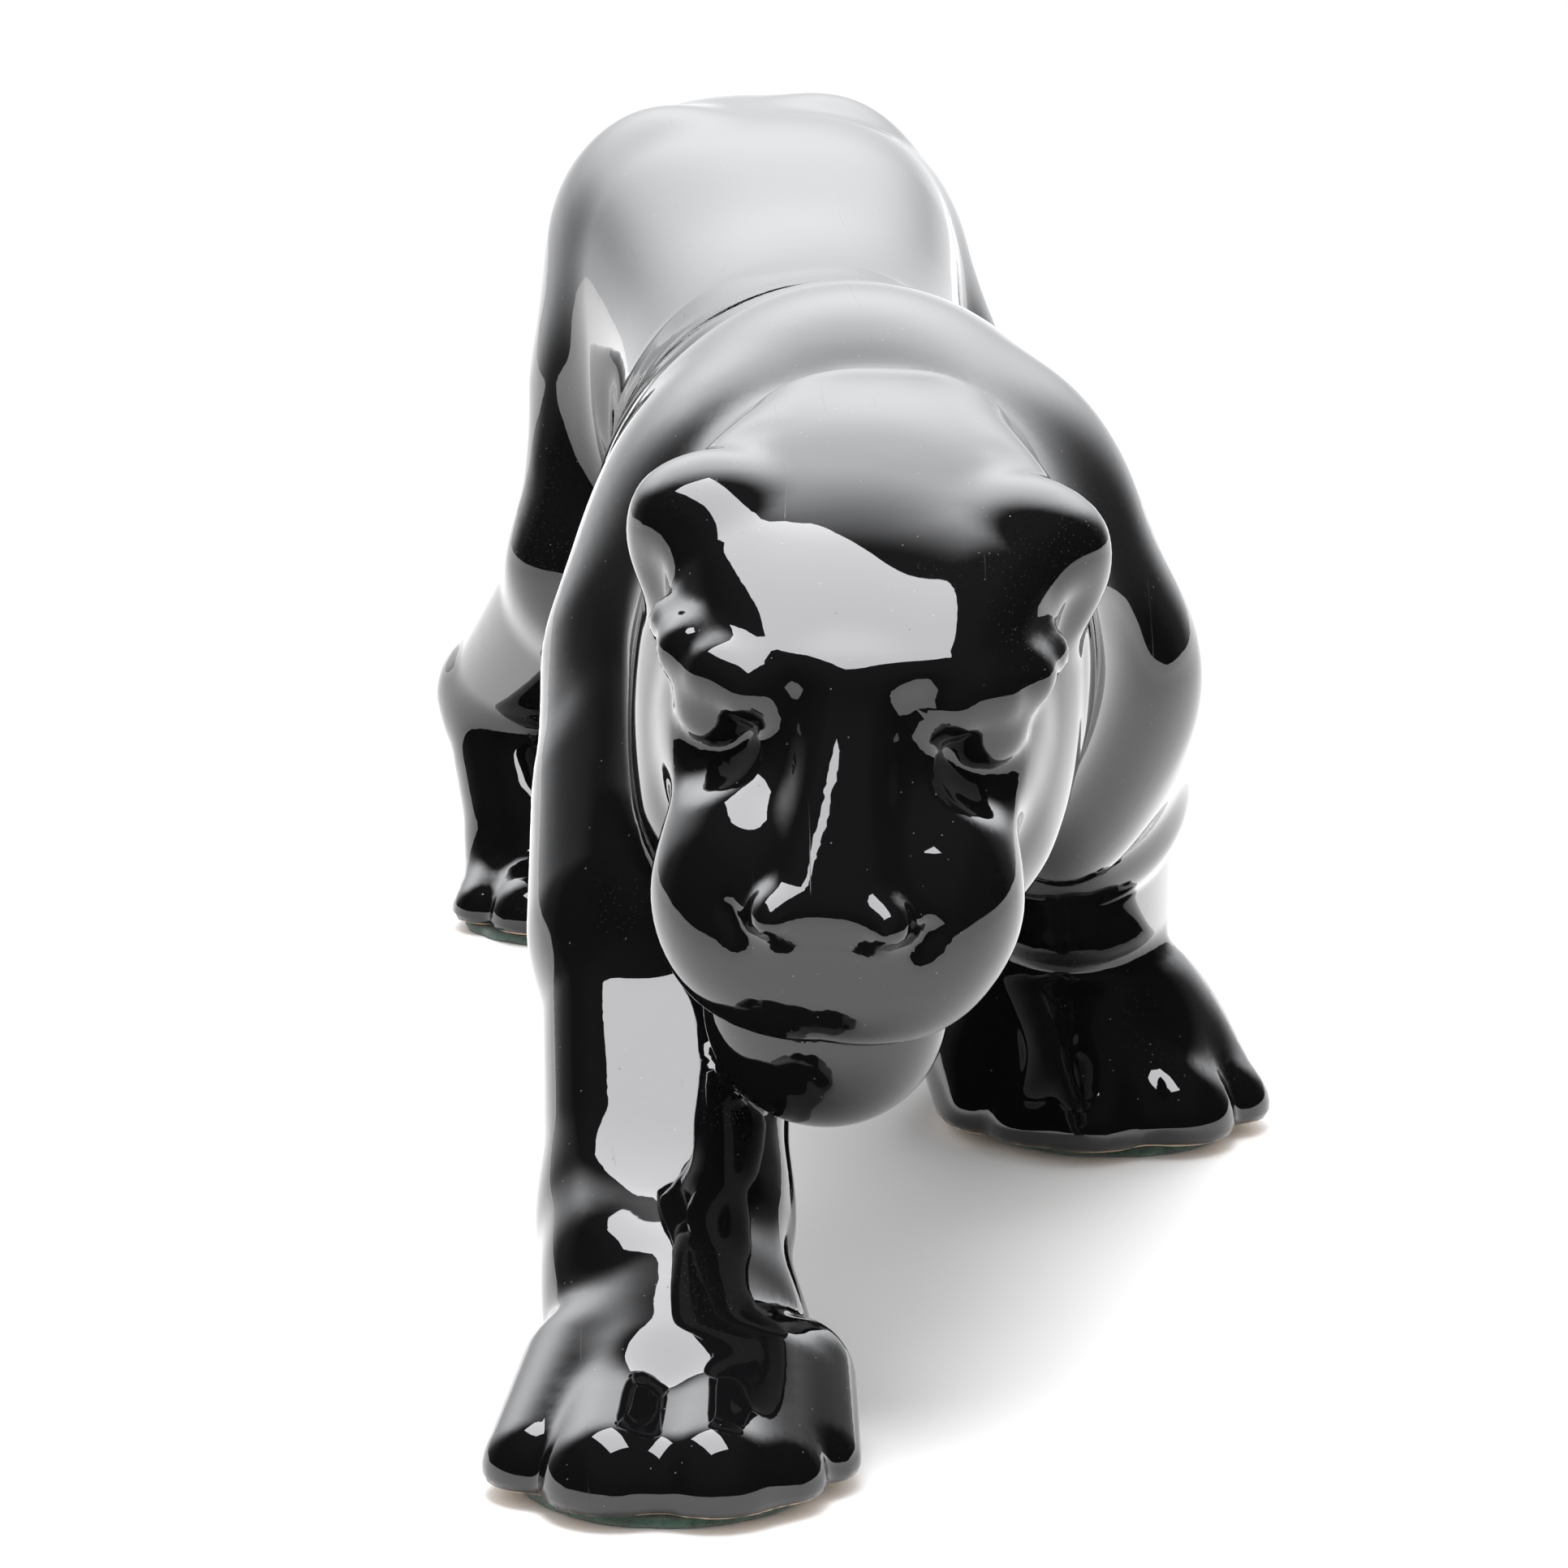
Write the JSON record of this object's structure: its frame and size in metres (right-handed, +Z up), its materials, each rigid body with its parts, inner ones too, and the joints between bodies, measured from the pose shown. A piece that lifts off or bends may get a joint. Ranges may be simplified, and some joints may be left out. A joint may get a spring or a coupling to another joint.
{
  "type": "table lamp",
  "caption": "Stalking panther television lamp: glazed hollow ceramic figure on four felt-soled paws, with a bulb holder inside the body that shines out of an opening in one flank.",
  "frame": {"origin": "middle of the figure's length and width, on the surface it stands on", "axes": "+Z up, the head points to -Y and the tail to +Y, +X is the animal's left side"},
  "size_m": [0.1515, 0.5541, 0.1633],
  "materials": {
    "black_glaze": "high gloss",
    "green_felt": "napped",
    "shell_brass": "satin",
    "zinc_steel": "zinc plated",
    "black_rubber": "matt",
    "black_moulding": "satin",
    "brown_moulding": "satin",
    "fibre_liner": "matt",
    "contact_brass": "bright",
    "base_metal": "bright",
    "black_insulator": "glassy",
    "clear_glass": "clear",
    "solder": "dull",
    "lead_wire": "drawn"
  },
  "bodies": {
    "lamp_body": {"panther_body": "black_glaze", "felt_pad_front_right": "green_felt", "felt_pad_front_left": "green_felt", "felt_pad_hind_right": "green_felt", "felt_pad_hind_left": "green_felt", "inlet_nipple": "zinc_steel", "inlet_rubber_washer": "black_rubber", "inlet_steel_washer": "zinc_steel", "inlet_nut_lower": "zinc_steel", "inlet_lock_washer": "zinc_steel", "inlet_nut_upper": "zinc_steel", "cord_bushing": "black_moulding", "socket_bracket": "zinc_steel", "socket_nipple": "zinc_steel", "socket_lock_washer": "zinc_steel", "socket_nut": "zinc_steel", "socket_cap": "shell_brass", "cap_set_screw": "zinc_steel", "socket_shell": "shell_brass", "shell_liner": "fibre_liner", "socket_interior": "brown_moulding", "screw_shell": "contact_brass", "centre_contact": "contact_brass", "terminal_plates": "contact_brass", "terminal_screws": "contact_brass"},
    "bulb": {"bulb_base": "base_metal", "bulb_base_insulator": "black_insulator", "bulb_contact": "solder", "bulb_glass": "clear_glass", "glass_stem": "clear_glass", "lead_wires": "lead_wire", "filament": "lead_wire"},
    "switch": {"switch_spindle": "contact_brass", "switch_rotor": "brown_moulding", "switch_key": "black_moulding"}
  },
  "joints": [
    {"name": "bulb_screw", "type": "hinge", "parent": "lamp_body", "child": "bulb", "pos_m": [-0.003, 0, 0.112], "axis": [0, -1, 0], "range_deg": [0, 1080]},
    {"name": "switch_turn", "type": "hinge", "parent": "lamp_body", "child": "switch", "pos_m": [0, 0.024, 0.112], "axis": [1, 0, 0], "continuous": true}
  ]
}
